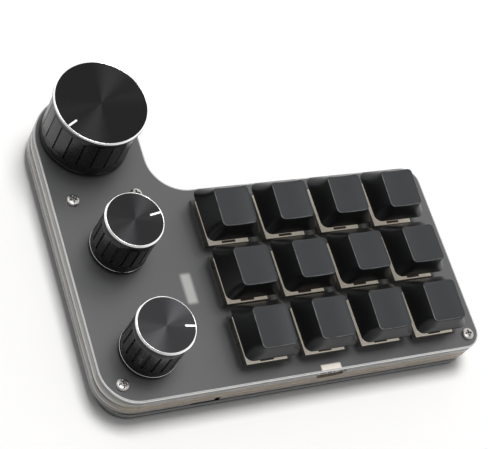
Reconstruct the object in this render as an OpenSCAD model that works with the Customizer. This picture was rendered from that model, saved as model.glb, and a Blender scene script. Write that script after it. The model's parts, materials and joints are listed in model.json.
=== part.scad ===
// Macro keypad with three knobs, in millimetres.
// +X runs along the rows of keys, +Y to the back, +Z up. The origin is under the middle of
// the case, on the surface that the feet stand on.

/* [Case outline] */
// Space from the left side to the first column of keys
knob_strip_w = 49.9; // [46:0.1:60]
// Space from the last column of keys to the right side
right_margin = 16.15; // [14:0.05:24]
// Space from the front row of keys to the front
front_margin = 13.2; // [13.2:0.1:20]
// Space from the back row of keys to the back of the key area
back_margin = 11.9; // [11:0.1:20]
// Radius of the round lobe at the back left
lobe_r = 16.15; // [15:0.05:20]
// Distance from the back of the key area to the centre of the lobe
lobe_reach = 19.3; // [13:0.1:30]
// Radius of the inner corner between the lobe and the key area
neck_fillet_r = 11.5; // [6:0.5:12.5]
// Radius of the front left corner
big_corner_r = 11; // [8:0.5:12]
// Radius of the two right corners
small_corner_r = 5.5; // [4.5:0.5:7]

/* [Case layers] */
// Height of the rubber feet
foot_h = 1; // [0.8:0.1:3]
// Radius of the rubber feet
foot_r = 4; // [3:0.5:5]
// Thickness of the bottom plate
bottom_plate_t = 3; // [2.4:0.1:5]
// How far the bottom plate stands in at the sides and the back
bottom_inset = 1.8; // [0.5:0.1:2.5]
// Thickness of the lower frame
lower_frame_t = 4.9; // [4.5:0.1:9]
// Thickness of the upper frame
upper_frame_t = 3; // [3:0.1:4]
// Thickness of the top plate
top_plate_t = 1.5; // [1.2:0.1:1.5]
// Width of the walls of the two frames
frame_wall = 3; // [2:0.1:3.6]

/* [Fasteners] */
// Distance of the corner screws from the rounded corners
corner_screw_in = 3.5; // [3.3:0.1:4]
// Distance of the left neck screw from the left side
neck_screw_in = 6.4; // [5.5:0.1:8]
// Distance between the two neck screws
neck_screw_pitch = 19.65; // [18:0.05:22]
// Radius of the screw shanks
screw_r = 0.95; // [0.8:0.05:1.1]
// Radius of the screw heads
screw_head_r = 1.9; // [1.6:0.05:2]
// Height of the screw heads
screw_head_h = 1.2; // [1:0.05:1.3]
// Length of screw in a spacer
screw_grip = 2.5; // [2:0.1:3.5]
// Radius of the hexagonal spacers across their corners
spacer_r = 1.85; // [1.7:0.05:2]

/* [Keys] */
// Columns of keys
key_columns = 4; // [2:1:4]
// Distance between keys
key_pitch = 19.05; // [18.8:0.05:22]
// Width of a keycap at its rim
keycap_w = 17.5; // [17.4:0.05:18.2]
// Width of a keycap across its top
keycap_top_w = 11.2; // [10.6:0.1:13]
// Front edge of a keycap's top, from the key's centre
keycap_front = 7.4; // [7:0.1:7.7]
// Back edge of a keycap's top, from the key's centre
keycap_back = 4.85; // [4.6:0.05:5.5]
// Thickness of a keycap's walls
keycap_wall = 1.3; // [1.1:0.05:1.35]
// Depth of the hollow across a keycap's top
keycap_dish = 0.5; // [0.3:0.05:0.6]
// Key travel
key_travel = 4; // [3:0.1:4]

/* [Switches] */
// Width of the square holes that hold the switches
switch_hole_w = 14; // [13.8:0.05:14.2]
// Width of the flange that rests on the top plate
switch_flange_w = 15.6; // [15:0.1:15.8]
// Thickness of that flange
switch_flange_t = 1; // [0.8:0.05:1.1]
// Height of a switch above the top plate
switch_h = 6.6; // [6.5:0.05:6.7]
// Length of the cross that carries the keycap
cross_h = 3.6; // [3.2:0.05:3.7]
// Length of the cross's arms
cross_w = 4.05; // [3.95:0.01:4.1]
// Thickness of the cross's arms
cross_t = 1.17; // [1.1:0.01:1.2]

/* [Circuit board] */
// Distance from the top of the top plate to the board
plate_to_board = 5; // [5:0.05:5.2]
// Thickness of the board
board_t = 1.6; // [1.2:0.1:1.6]
// Gap between the board and the frames
board_gap = 0.4; // [0.3:0.1:0.8]
// Height of the sockets under the switches
socket_h = 1.8; // [1.5:0.05:1.85]
// Distance of the controller chip from the left side
chip_in = 36; // [27:0.5:38]
// Distance of the controller chip from the front
chip_y = 52; // [46:0.5:54]
// Distance of the white connector from the left side
connector_in = 35.2; // [26:0.1:38]
// Distance of the white connector from the front
connector_y = 32.8; // [20:0.1:41]
// Distance of the slot in the front from the left side
slot_in = 32.2; // [22:0.1:56]
// Distance of the USB-C socket from the left side
usb_in = 70.9; // [60:0.1:78]
// Width of the USB-C socket
usb_w = 8.94; // [8.9:0.01:9]
// Height of the USB-C socket
usb_h = 3.16; // [3.1:0.01:3.2]
// Length of the USB-C socket
usb_length = 5.2; // [4.4:0.1:5.3]
// Distance of the USB-C socket's mouth from the front
usb_setback = 0.8; // [0.2:0.1:0.9]

/* [Knobs] */
// Distance of the small knobs from the left side
knob_in = 15.94; // [13:0.05:17]
// Distance of the front knob from the front
front_knob_y = 14.63; // [13.5:0.05:17]
// Distance of the middle knob from the front
middle_knob_y = 47; // [42:0.1:49]
// Shift of the big knob from the centre of the lobe, to the left
big_knob_left = 0.7; // [0:0.1:1]
// Shift of the big knob from the centre of the lobe, to the back
big_knob_back = 1.5; // [0:0.1:1.6]
// Radius of the small knobs
knob_r = 8.76; // [8.4:0.02:9.4]
// Height of the small knobs' tops over the top plate
knob_top = 17.1; // [16:0.1:22]
// Radius of the big knob
big_knob_r = 14.1; // [12.5:0.1:15]
// Height of the big knob's top over the top plate
big_knob_top = 19.1; // [17:0.1:24]
// How far the big knob's skirt stands in from its top
big_skirt_in = 0.7; // [0.2:0.1:1]
// How far a small knob's skirt stands in from its top
small_skirt_in = 0.2; // [0.2:0.05:0.4]
// Grooves round a small knob
knob_grooves = 18; // [12:1:24]
// Grooves round the big knob
big_knob_grooves = 20; // [16:1:30]
// Gap between a knob and the top plate
knob_gap = 0.8; // [0.8:0.05:1.5]
// How far a knob can be pushed
push_travel = 0.5; // [0.3:0.05:0.5]
// Radius of a knob's shaft
shaft_r = 3; // [2.8:0.05:3.1]
// Radius of the threaded bushes
bush_r = 3.5; // [3.4:0.05:3.6]
// Height of the threaded bushes over the top plate
bush_h = 4.3; // [3.5:0.1:4.6]

/* [Fits] */
// Gap between a switch and the edges of its hole
switch_clearance = 0.1; // [0.05:0.05:0.2]
// Gap round parts that slide past flat faces
slide_gap = 0.3; // [0.25:0.05:0.35]
// Running gap between a shaft and its bush
shaft_gap = 0.05; // [0.03:0.01:0.08]
// Gap between parts that are pressed together
press_gap = 0.04; // [0.02:0.01:0.06]
// Gap round a screw in a clearance hole
screw_clearance = 0.15; // [0.1:0.05:0.2]

/* [Hidden] */
$fn = 64;
key_rows = 3;
row_names = ["back", "middle", "front"];
knob_names = ["big", "middle", "front"];
overcut = 0.5;
left = -(knob_strip_w + (key_columns - 1) * key_pitch + right_margin) / 2;
right = -left;
key_area_d = front_margin + (key_rows - 1) * key_pitch + back_margin;
front = -(key_area_d + lobe_reach + lobe_r) / 2;
back = front + key_area_d;
lobe = [left + lobe_r, back + lobe_reach];

z_bottom = foot_h;
z_lower = z_bottom + bottom_plate_t;
z_upper = z_lower + lower_frame_t;
z_plate = z_upper + upper_frame_t;
z_top = z_plate + top_plate_t;
z_board_top = z_top - plate_to_board;
z_board = z_board_top - board_t;

// Centre of a key, with column 0 at the left and row 0 at the back
function key_place(row, column) = [
    left + knob_strip_w + column * key_pitch,
    front + front_margin + (key_rows - 1 - row) * key_pitch
];
knob_places = [
    lobe + [-big_knob_left, big_knob_back],
    [left + knob_in, front + middle_knob_y],
    [left + knob_in, front + front_knob_y]
];

// Screws: three in the corners, which the frames hold, and two in the neck, which stand free
function corner_screw(centre, r, side) = centre + side * (r - corner_screw_in) / sqrt(2);
corner_screws = [
    corner_screw([left + big_corner_r, front + big_corner_r], big_corner_r, [-1, -1]),
    corner_screw([right - small_corner_r, front + small_corner_r], small_corner_r, [1, -1]),
    corner_screw([right - small_corner_r, back - small_corner_r], small_corner_r, [1, 1])
];
neck_screws = [
    [left + neck_screw_in, back],
    [left + neck_screw_in + neck_screw_pitch, back]
];
all_screws = concat(corner_screws, neck_screws);
spacer_hole_r = spacer_r + screw_clearance;
spacer_bore_r = screw_r + press_gap;
boss_r = spacer_hole_r + 1.6;
counterbore_r = screw_head_r + screw_clearance;
counterbore_h = screw_head_h + 0.1;

foot_in = 12;
feet = [
    [left + foot_in, front + foot_in],
    [right - foot_in, front + foot_in],
    [right - foot_in, back - foot_in],
    lobe
];

// Keycap heights over the top plate, from the back row to the front row
keycap_rim_z = 5.8;
keycap_ceiling_z = 10.95;
keycap_front_z = [12.15, 12.8, 12.15];
keycap_back_z = [13.0, 12.95, 12.85];
keycap_front_shift = [-0.3, 0.1, 0.35];
keycap_back_shift = [0.2, -0.2, 0];
keycap_rim_corner_r = 2.3;
keycap_top_corner_r = 1.3;
keycap_slab = 0.3;
keycap_post_r = 2.75;
keycap_post_z = switch_h + slide_gap;
dish_r = pow(keycap_top_w / 2, 2) / (2 * keycap_dish) + keycap_dish / 2;

// Switch sizes. Heights are over the top plate.
switch_body_w = switch_hole_w - 2 * switch_clearance;
switch_cavity = [9.4, 8.2];
switch_floor_z = 1 - plate_to_board;
switch_clip_w = 5;
switch_clip_out = 0.3;
switch_clip_h = 1;
switch_post_r = 1.95;
switch_post_below = 3.3;
switch_post_z = -plate_to_board - switch_post_below;
switch_post_bore_r = 1.4;
slider_pole_r = switch_post_bore_r - slide_gap;
slider_pole_z = -3.5;
slider_wing_z = 2.2;
cover_arm = [12.5, 15];
cover_arm_y = -7.8;
cover_arm_t = 0.5;
cover_base_x = 6.1;
cover_base_y = [-6.6, 6.9];
cover_top_x = 4.9;
cover_top_y = [-4.9, 4.2];
cover_roof_t = 1.2;
cover_mouth = [7.2, 6.4];
led_slot = [4.6, 0.9];
led_slot_y = -7.1;
spring_coil_r = 1.9;
spring_wire_r = 0.17;
spring_turns = 5;
pin_places = [[-3.81, 2.54], [2.54, 5.08]];
pin_r = 0.5;
pin_hole_r = 0.75;
pin_z = z_board - z_top - socket_h;
socket_arm_place = [-6, 0.7];
socket_arm = [3.8, 4.5];
socket_bar_place = [-6, 3];
socket_bar = [10.9, 3.9];

// Knob and encoder sizes. Heights are over the top plate.
bush_hole_r = bush_r + 0.1;
washer_r = 5.4;
washer_t = 0.5;
nut_r = 5.77;
nut_t = 2;
encoder_w = 12;
encoder_d = 12.6;
encoder_floor_t = 0.8;
encoder_roof_t = 0.4;
encoder_cavity_r = 4.3;
collar_r = encoder_cavity_r - 0.4;
collar_t = 0.8;
collar_top_z = -top_plate_t - encoder_roof_t - 0.3;
plunger_r = 2;
knob_recess_r = nut_r + 0.6;
knob_recess_z = washer_t + nut_t + push_travel + 0.5;
bush_recess_r = bush_r + 0.5;
bush_recess_z = bush_h + push_travel + slide_gap;
shaft_top_z = 13;
shaft_flat = shaft_r / 2;
groove_w = 0.5;
groove_depth = 0.45;
groove_z = 3.4;
groove_top = 3.6;
groove_turn = [-4, 0, 0];
lip_h = 0.6;
lip_out = 0.2;
cap_h = 1.6;
cap_chamfer = 0.48;
cap_neck_h = 0.5;
cap_neck_in = 0.5;
cap_hollow = 0.2;

usb_wall = 0.3;
usb_place = [left + usb_in, front + usb_setback, z_board_top + usb_h / 2];
usb_clearance = 0.25;
usb_tongue = [6.7, usb_length - 1.5, 0.7];
front_slot_x = left + slot_in;
front_slot = [9, 0.8];
front_slot_step = [1.8, 2.2];
chip = [7, 7, 0.9];
chip_place = [left + chip_in, front + chip_y];
connector = [3, 9.4, 2];
connector_place = [left + connector_in, front + connector_y];

function key_nodes(prefix) = [
    for (row = [0:key_rows - 1], column = [0:key_columns - 1])
        str(prefix, "_", row_names[row], "_", column + 1)
];
function knob_nodes(suffix) = [for (name = knob_names) str(name, "_knob_", suffix)];

// ---- Shared shapes ----

// The case seen from above, drawn in by an inset on every side
module case_outline(inset = 0) {
    r_lobe = lobe_r - inset;
    r_big = big_corner_r - inset;
    r_small = small_corner_r - inset;
    x0 = left + inset;
    x1 = right - inset;
    y0 = front + inset;
    y1 = back - inset;
    neck = lobe[0] + r_lobe;
    fillet = [lobe[0] + lobe_r + neck_fillet_r, back + neck_fillet_r];
    difference() {
        union() {
            translate([x0, y0 + r_big]) square([x1 - x0 - r_small, y1 - y0 - r_big]);
            translate([x0 + r_big, y0]) square([x1 - x0 - r_big - r_small, r_big + 1]);
            translate([x0 + r_big, y0 + r_big]) circle(r_big);
            translate([x1 - r_small - 1, y0 + r_small])
                square([r_small + 1, y1 - y0 - 2 * r_small]);
            for (y = [y0 + r_small, y1 - r_small]) translate([x1 - r_small, y]) circle(r_small);
            translate([x0, y1 - 1]) square([2 * r_lobe, lobe[1] - y1 + 1]);
            translate(lobe) circle(r_lobe);
            translate([neck - 1, y1 - 1]) square([fillet[0] - neck + 1, fillet[1] - y1 + 1]);
        }
        translate(fillet) circle(neck_fillet_r + inset);
        translate([neck, fillet[1]]) square([right - neck, 2 * lobe_r]);
        translate([fillet[0], y1]) square([right - fillet[0], lobe_reach]);
    }
}

// The clear space inside the two frames
module frame_inside() {
    difference() {
        case_outline(frame_wall);
        for (p = corner_screws) translate(p) circle(boss_r);
    }
}

module at_keys() {
    for (row = [0:key_rows - 1], column = [0:key_columns - 1])
        translate(key_place(row, column)) children();
}

module at_knobs() {
    for (p = knob_places) translate(p) children();
}

// A box with its flat ends at z0 and z1, centred in X and Y
module centred_box(size, z0, z1) {
    translate([-size[0] / 2, -size[1] / 2, z0]) cube([size[0], size[1], z1 - z0]);
}

// A block whose four sides lean in from the base to the top, with flat faces.
// Each y pair holds the front and the back edge.
module tapered_block(x0, y0, z0, x1, y1, z1) {
    intersection() {
        translate([0, y0[1] + overcut, 0]) rotate([90, 0, 0])
            linear_extrude(y0[1] - y0[0] + 2 * overcut)
            polygon([[-x0, z0], [x0, z0], [x1, z1], [-x1, z1]]);
        translate([-x0 - overcut, 0, 0]) rotate([90, 0, 90])
            linear_extrude(2 * x0 + 2 * overcut)
            polygon([[y0[0], z0], [y0[1], z0], [y1[1], z1], [y1[0], z1]]);
    }
}

module stadium(width, height) {
    r = height / 2;
    translate([-width / 2 + r, -r]) square([width - height, height]);
    for (side = [-1, 1]) translate([side * (width / 2 - r), 0]) circle(r);
}

// The USB-C socket's outline, drawn along Y from its front end
module usb_bar(grow, from, length) {
    translate(usb_place + [0, from + length, 0]) rotate([90, 0, 0]) linear_extrude(length)
        stadium(usb_w + 2 * grow, usb_h + 2 * grow);
}

// The gap in the frames' front wall that the USB-C socket reaches through
module usb_gap() {
    half = usb_w / 2 + usb_clearance;
    reach = usb_setback + frame_wall + overcut;
    usb_bar(usb_clearance, -usb_setback - overcut, reach);
    translate([usb_place[0] - half, front - overcut, usb_place[2]])
        cube([2 * half, reach, z_plate - usb_place[2] + overcut]);
}

// ---- Case ----

module top_plate() {
    color("dimgray") difference() {
        translate([0, 0, z_plate]) linear_extrude(top_plate_t) case_outline();
        at_keys() centred_box([switch_hole_w, switch_hole_w], z_plate - overcut, z_top + overcut);
        for (p = all_screws) translate([p[0], p[1], z_plate - overcut])
            cylinder(r = screw_r + screw_clearance, h = top_plate_t + 2 * overcut);
        at_knobs() translate([0, 0, z_plate - overcut])
            cylinder(r = bush_hole_r, h = top_plate_t + 2 * overcut);
    }
}

module frame_ring(z, h) {
    difference() {
        translate([0, 0, z]) linear_extrude(h) case_outline();
        translate([0, 0, z - overcut]) linear_extrude(h + 2 * overcut) frame_inside();
        for (p = corner_screws) translate([p[0], p[1], z - overcut])
            cylinder(r = spacer_hole_r, h = h + 2 * overcut);
        usb_gap();
    }
}

module upper_frame() {
    color("gray") frame_ring(z_upper, upper_frame_t);
}

module lower_frame() {
    color("gray") difference() {
        frame_ring(z_lower, lower_frame_t);
        translate([front_slot_x - front_slot[0] / 2, front - overcut, z_lower - overcut])
            cube([front_slot[0], frame_wall + 2 * overcut, front_slot[1] + overcut]);
        translate([front_slot_x + front_slot[0] / 2 - front_slot_step[0], front - overcut,
                   z_lower - overcut])
            cube([front_slot_step[0], frame_wall + 2 * overcut, front_slot_step[1] + overcut]);
    }
}

module bottom_plate() {
    color("darkslategray") difference() {
        translate([0, 0, z_bottom]) linear_extrude(bottom_plate_t) {
            case_outline(bottom_inset);
            translate([0, -bottom_inset]) case_outline(bottom_inset);
        }
        for (p = all_screws) translate([p[0], p[1], z_bottom - overcut]) {
            cylinder(r = screw_r + screw_clearance, h = bottom_plate_t + 2 * overcut);
            cylinder(r = counterbore_r, h = counterbore_h + overcut);
        }
    }
}

module rubber_feet() {
    color("black") for (p = feet) translate(p) cylinder(r = foot_r, h = foot_h);
}

// A pan-head screw with a cross recess, its head's seat at z = 0 and its shank downwards
module pan_screw(length) {
    difference() {
        union() {
            translate([0, 0, -length]) cylinder(r = screw_r, h = length + screw_head_h / 2);
            rotate_extrude() intersection() {
                square([screw_head_r, screw_head_h]);
                translate([0, screw_head_h - 2 * screw_head_r]) circle(2 * screw_head_r);
            }
        }
        for (turn = [0, 90]) rotate(turn) translate([-screw_head_r * 0.55, -0.2, screw_head_h / 2])
            cube([screw_head_r * 1.1, 0.4, screw_head_h]);
    }
}

module case_screws() {
    color("silver") for (p = all_screws)
        translate([p[0], p[1], z_top]) pan_screw(top_plate_t + screw_grip);
}

module bottom_screws() {
    color("silver") for (p = all_screws)
        translate([p[0], p[1], z_bottom + counterbore_h]) rotate([180, 0, 0])
            pan_screw(bottom_plate_t - counterbore_h + screw_grip);
}

module spacers() {
    color("goldenrod") for (p = all_screws) translate([p[0], p[1], z_lower]) difference() {
        cylinder(r = spacer_r, h = z_plate - z_lower, $fn = 6);
        translate([0, 0, -overcut])
            cylinder(r = spacer_bore_r, h = z_plate - z_lower + 2 * overcut);
    }
}

// ---- Circuit board ----

module circuit_board() {
    color("darkgreen") difference() {
        translate([0, 0, z_board]) linear_extrude(board_t) difference() {
            case_outline(frame_wall + board_gap);
            for (p = corner_screws) translate(p) circle(boss_r + board_gap);
        }
        for (p = neck_screws) translate([p[0], p[1], z_board - overcut])
            cylinder(r = spacer_hole_r, h = board_t + 2 * overcut);
        at_keys() translate([0, 0, z_board - overcut]) {
            cylinder(r = switch_post_r + switch_clearance, h = board_t + 2 * overcut);
            for (p = pin_places) translate(p) cylinder(r = pin_hole_r, h = board_t + 2 * overcut);
        }
    }
}

module controller_chip() {
    color("black") translate([chip_place[0], chip_place[1], z_board - chip[2]])
        centred_box(chip, 0, chip[2]);
}

module board_connector() {
    color("white") translate([connector_place[0], connector_place[1], z_board_top])
        difference() {
            centred_box(connector, 0, connector[2]);
            centred_box([connector[0] - 1, connector[1] - 1], 0.6, connector[2] + overcut);
        }
}

module usb_shell() {
    color("silver") difference() {
        usb_bar(0, 0, usb_length);
        usb_bar(-usb_wall, -overcut, usb_length - usb_wall + overcut);
    }
}

module usb_tongue() {
    color("black") translate(usb_place + [-usb_tongue[0] / 2, usb_length - usb_wall
                                          - usb_tongue[1], -usb_tongue[2] / 2])
        cube(usb_tongue);
}

// ---- Switches ----

module switch_base() {
    difference() {
        union() {
            centred_box([switch_body_w, switch_body_w], -plate_to_board, switch_flange_t);
            centred_box([switch_flange_w, switch_flange_w], 0, switch_flange_t);
            centred_box([switch_clip_w, switch_body_w + 2 * switch_clip_out],
                        -top_plate_t - switch_clip_h, -top_plate_t - 0.05);
            translate([0, 0, switch_post_z])
                cylinder(r = switch_post_r, h = switch_floor_z - switch_post_z);
        }
        centred_box(switch_cavity, switch_floor_z, switch_flange_t + overcut);
        translate([0, 0, slider_pole_z - key_travel - slide_gap])
            cylinder(r = switch_post_bore_r, h = plate_to_board + key_travel);
        for (p = pin_places) translate([p[0], p[1], -plate_to_board - overcut])
            cylinder(r = pin_r + press_gap, h = 1 + overcut);
    }
}

module switch_cover() {
    roof_z = switch_h - cover_roof_t;
    difference() {
        union() {
            tapered_block(cover_base_x, cover_base_y, switch_flange_t,
                          cover_top_x, cover_top_y, switch_h);
            translate([-cover_arm[0] / 2, cover_arm_y, switch_flange_t])
                cube([cover_arm[0], cover_arm[1], cover_arm_t]);
        }
        centred_box(switch_cavity, switch_flange_t - overcut, roof_z);
        centred_box(cover_mouth, 0, switch_h + overcut);
        translate([-led_slot[0] / 2, led_slot_y - led_slot[1] / 2, 0])
            cube([led_slot[0], led_slot[1], switch_h]);
    }
}

module switch_bases() {
    color("darkolivegreen") at_keys() translate([0, 0, z_top]) switch_base();
}

module switch_covers() {
    color("antiquewhite") at_keys() translate([0, 0, z_top]) switch_cover();
}

module switch_pins() {
    color("gold") at_keys() for (p = pin_places) translate([p[0], p[1], z_top + pin_z])
        cylinder(r = pin_r, h = switch_floor_z - pin_z - 0.2);
}

module hot_swap_sockets() {
    color("black") at_keys() translate([0, 0, z_board - socket_h]) difference() {
        union() {
            translate(socket_arm_place) cube([socket_arm[0], socket_arm[1], socket_h]);
            translate(socket_bar_place) cube([socket_bar[0], socket_bar[1], socket_h]);
        }
        for (p = pin_places) translate([p[0], p[1], -overcut])
            cylinder(r = pin_r + press_gap, h = socket_h + 2 * overcut);
    }
}

// A round wire wound into a helix that stands on z = 0
module coil_spring(coil_r, wire_r, height, turns) {
    steps = turns * 9;
    sides = 4;
    rise = height - 2 * wire_r;
    points = [
        for (step = [0:steps], side = [0:sides - 1])
            let (turn = 360 * turns * step / steps, tilt = 360 * side / sides,
                 r = coil_r + wire_r * cos(tilt))
                [r * cos(turn), r * sin(turn),
                 wire_r + rise * step / steps + wire_r * sin(tilt)]
    ];
    walls = [
        for (step = [0:steps - 1], side = [0:sides - 1])
            let (a = step * sides + side, b = step * sides + (side + 1) % sides)
                each [[a, a + sides, b], [b, a + sides, b + sides]]
    ];
    ends = [
        [for (side = [0:sides - 1]) side],
        [for (side = [sides - 1:-1:0]) steps * sides + side]
    ];
    polyhedron(points, concat(walls, ends));
}

module switch_springs() {
    color("silver") at_keys() translate([0, 0, z_top + switch_floor_z])
        coil_spring(spring_coil_r, spring_wire_r, slider_wing_z - switch_floor_z, spring_turns);
}

module key_stem(row, column) {
    wing = switch_cavity - 2 * [slide_gap, slide_gap];
    neck = cover_mouth - 2 * [slide_gap, slide_gap];
    color("saddlebrown") translate(key_place(row, column)) translate([0, 0, z_top]) {
        centred_box(wing, slider_wing_z, switch_h - cover_roof_t - slide_gap);
        centred_box(neck, slider_wing_z, switch_h);
        centred_box([cross_w, cross_t], switch_h, switch_h + cross_h);
        centred_box([cross_t, cross_w], switch_h, switch_h + cross_h);
        translate([0, 0, slider_pole_z])
            cylinder(r = slider_pole_r, h = slider_wing_z - slider_pole_z);
    }
}

// ---- Keycaps ----

// Four corner posts that span from the front edge to the back edge, on a tilted plane
module keycap_slice(half_w, y0, y1, z0, z1, corner_r) {
    for (x = [corner_r - half_w, half_w - corner_r]) {
        translate([x, y0 + corner_r, z0]) cylinder(r = corner_r, h = keycap_slab, $fn = 32);
        translate([x, y1 - corner_r, z1]) cylinder(r = corner_r, h = keycap_slab, $fn = 32);
    }
}

module keycap_shell(row) {
    rim = keycap_w / 2;
    inner_rim = rim - keycap_wall;
    top_front = keycap_front + keycap_front_shift[row];
    top_back = keycap_back + keycap_back_shift[row];
    share = (keycap_ceiling_z - keycap_rim_z) / (keycap_front_z[row] - keycap_rim_z);
    ceiling_x = rim - (rim - keycap_top_w / 2) * share - keycap_wall;
    ceiling_front = rim - (rim - top_front) * share - keycap_wall;
    ceiling_back = rim - (rim - top_back) * share - keycap_wall / 2;
    difference() {
        hull() {
            keycap_slice(rim, -rim, rim, keycap_rim_z, keycap_rim_z, keycap_rim_corner_r);
            keycap_slice(keycap_top_w / 2, -top_front, top_back,
                         keycap_front_z[row] - keycap_slab, keycap_back_z[row] - keycap_slab,
                         keycap_top_corner_r);
        }
        hull() {
            keycap_slice(inner_rim, -inner_rim, inner_rim, keycap_rim_z - overcut,
                         keycap_rim_z - overcut, keycap_rim_corner_r / 2);
            keycap_slice(ceiling_x, -ceiling_front, ceiling_back,
                         keycap_ceiling_z - keycap_slab, keycap_ceiling_z - keycap_slab,
                         keycap_top_corner_r / 2);
        }
        keycap_dish_cutter(row, top_front, top_front + top_back);
    }
}

// The wide round hollow that runs from front to back across a keycap's top
module keycap_dish_cutter(row, top_front, length) {
    rise = keycap_back_z[row] - keycap_front_z[row];
    translate([0, -top_front, keycap_front_z[row]]) rotate([atan2(rise, length), 0, 0])
        translate([0, -length, dish_r - keycap_dish]) rotate([-90, 0, 0])
            cylinder(r = dish_r, h = 3 * length, $fn = 128);
}

module keycap(row, column) {
    socket_w = cross_w + 2 * press_gap;
    socket_t = cross_t + 2 * press_gap;
    socket_top = switch_h + cross_h + 0.1;
    color("black") translate(key_place(row, column)) translate([0, 0, z_top]) difference() {
        union() {
            keycap_shell(row);
            translate([0, 0, keycap_post_z])
                cylinder(r = keycap_post_r, h = keycap_ceiling_z + 0.2 - keycap_post_z);
        }
        centred_box([socket_w, socket_t], keycap_post_z - overcut, socket_top);
        centred_box([socket_t, socket_w], keycap_post_z - overcut, socket_top);
    }
}

// ---- Knobs and encoders ----

module encoder_housings() {
    color("silver") at_knobs() difference() {
        centred_box([encoder_w, encoder_d], z_board_top, z_plate);
        translate([0, 0, z_board_top + encoder_floor_t])
            cylinder(r = encoder_cavity_r, h = z_plate - encoder_roof_t - z_board_top
                                               - encoder_floor_t);
        translate([0, 0, z_plate - encoder_roof_t - overcut])
            cylinder(r = shaft_r + shaft_gap, h = encoder_roof_t + 2 * overcut);
    }
}

module encoder_bushes() {
    color("silver") at_knobs() translate([0, 0, z_plate]) difference() {
        cylinder(r = bush_r, h = top_plate_t + bush_h);
        translate([0, 0, -overcut])
            cylinder(r = shaft_r + shaft_gap, h = top_plate_t + bush_h + 2 * overcut);
    }
}

module encoder_washers() {
    color("silver") at_knobs() translate([0, 0, z_top]) difference() {
        cylinder(r = washer_r, h = washer_t);
        translate([0, 0, -overcut]) cylinder(r = bush_hole_r, h = washer_t + 2 * overcut);
    }
}

module encoder_nuts() {
    color("silver") at_knobs() translate([0, 0, z_top + washer_t]) difference() {
        cylinder(r = nut_r, h = nut_t, $fn = 6);
        translate([0, 0, -overcut]) cylinder(r = bush_r + press_gap, h = nut_t + 2 * overcut);
    }
}

// A shaft with a flat on its upper part and a collar at its foot, cut grown by a gap
// when it is used as the knob's bore
module shaft_shape(gap, from, to) {
    difference() {
        translate([0, 0, from]) cylinder(r = shaft_r + gap, h = to - from);
        translate([-shaft_r, shaft_flat + gap, bush_recess_z])
            cube([2 * shaft_r, shaft_r, to - bush_recess_z + overcut]);
    }
}

module knob_shaft(i) {
    color("silver") translate(knob_places[i]) translate([0, 0, z_top]) {
        shaft_shape(0, collar_top_z - collar_t, shaft_top_z);
        translate([0, 0, collar_top_z - collar_t]) cylinder(r = collar_r, h = collar_t);
    }
}

module knob_plunger(i) {
    foot = encoder_floor_t + push_travel + 0.1 - plate_to_board;
    color("gold") translate(knob_places[i]) translate([0, 0, z_top + foot])
        cylinder(r = plunger_r, h = collar_top_z - collar_t - foot);
}

// The grooved skirt, turned from the profile of its right half
module knob_body(i) {
    r = i == 0 ? big_knob_r : knob_r;
    top = (i == 0 ? big_knob_top : knob_top) - cap_h;
    grooves = i == 0 ? big_knob_grooves : knob_grooves;
    wall_r = r - (i == 0 ? big_skirt_in : small_skirt_in);
    lip_r = wall_r + lip_out;
    color("black") translate(knob_places[i]) translate([0, 0, z_top]) difference() {
        rotate_extrude() polygon([
            [0, bush_recess_z],
            [bush_recess_r, bush_recess_z],
            [bush_recess_r, knob_recess_z],
            [knob_recess_r, knob_recess_z],
            [knob_recess_r, knob_gap],
            [lip_r - lip_out, knob_gap],
            [lip_r, knob_gap + lip_out],
            [lip_r, knob_gap + lip_h],
            [wall_r, knob_gap + lip_h + lip_out],
            [wall_r, top - cap_neck_h - cap_neck_in],
            [wall_r - cap_neck_in, top - cap_neck_h],
            [wall_r - cap_neck_in, top],
            [0, top]
        ]);
        shaft_shape(press_gap, knob_recess_z, shaft_top_z + 0.1);
        for (k = [0:grooves - 1]) rotate(groove_turn[i] + 360 * (k + 0.5) / grooves)
            translate([wall_r - groove_depth, -groove_w / 2, knob_gap + groove_z])
                cube([groove_depth + 1, groove_w, top - groove_top + cap_h - knob_gap
                                                  - groove_z]);
    }
}

// The turned top with its bright chamfer, and a shallow cone in its face
module knob_cap(i) {
    r = i == 0 ? big_knob_r : knob_r;
    top = i == 0 ? big_knob_top : knob_top;
    color("dimgray") translate(knob_places[i]) translate([0, 0, z_top]) rotate_extrude()
        polygon([
            [0, top - cap_h],
            [r - cap_chamfer / 2, top - cap_h],
            [r, top - cap_h + cap_chamfer / 2],
            [r, top - cap_chamfer],
            [r - cap_chamfer, top],
            [0, top - cap_hollow]
        ]);
}

// ---- Parts ----

top_plate();
upper_frame();
lower_frame();
bottom_plate();
rubber_feet();
case_screws();
bottom_screws();
spacers();
circuit_board();
controller_chip();
board_connector();
usb_shell();
usb_tongue();
switch_bases();
switch_covers();
switch_springs();
switch_pins();
hot_swap_sockets();
encoder_housings();
encoder_bushes();
encoder_washers();
encoder_nuts();
for (row = [0:key_rows - 1], column = [0:key_columns - 1]) {
    key = str(row_names[row], "_", column + 1);
    keycap(row, column);
    key_stem(row, column);
}
for (i = [0:len(knob_names) - 1]) {
    name = str(knob_names[i], "_knob_");
    knob_body(i);
    knob_cap(i);
    knob_shaft(i);
    knob_plunger(i);
}
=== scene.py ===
import json
import math

import bmesh
import bpy
from mathutils import Matrix, Vector


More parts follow.
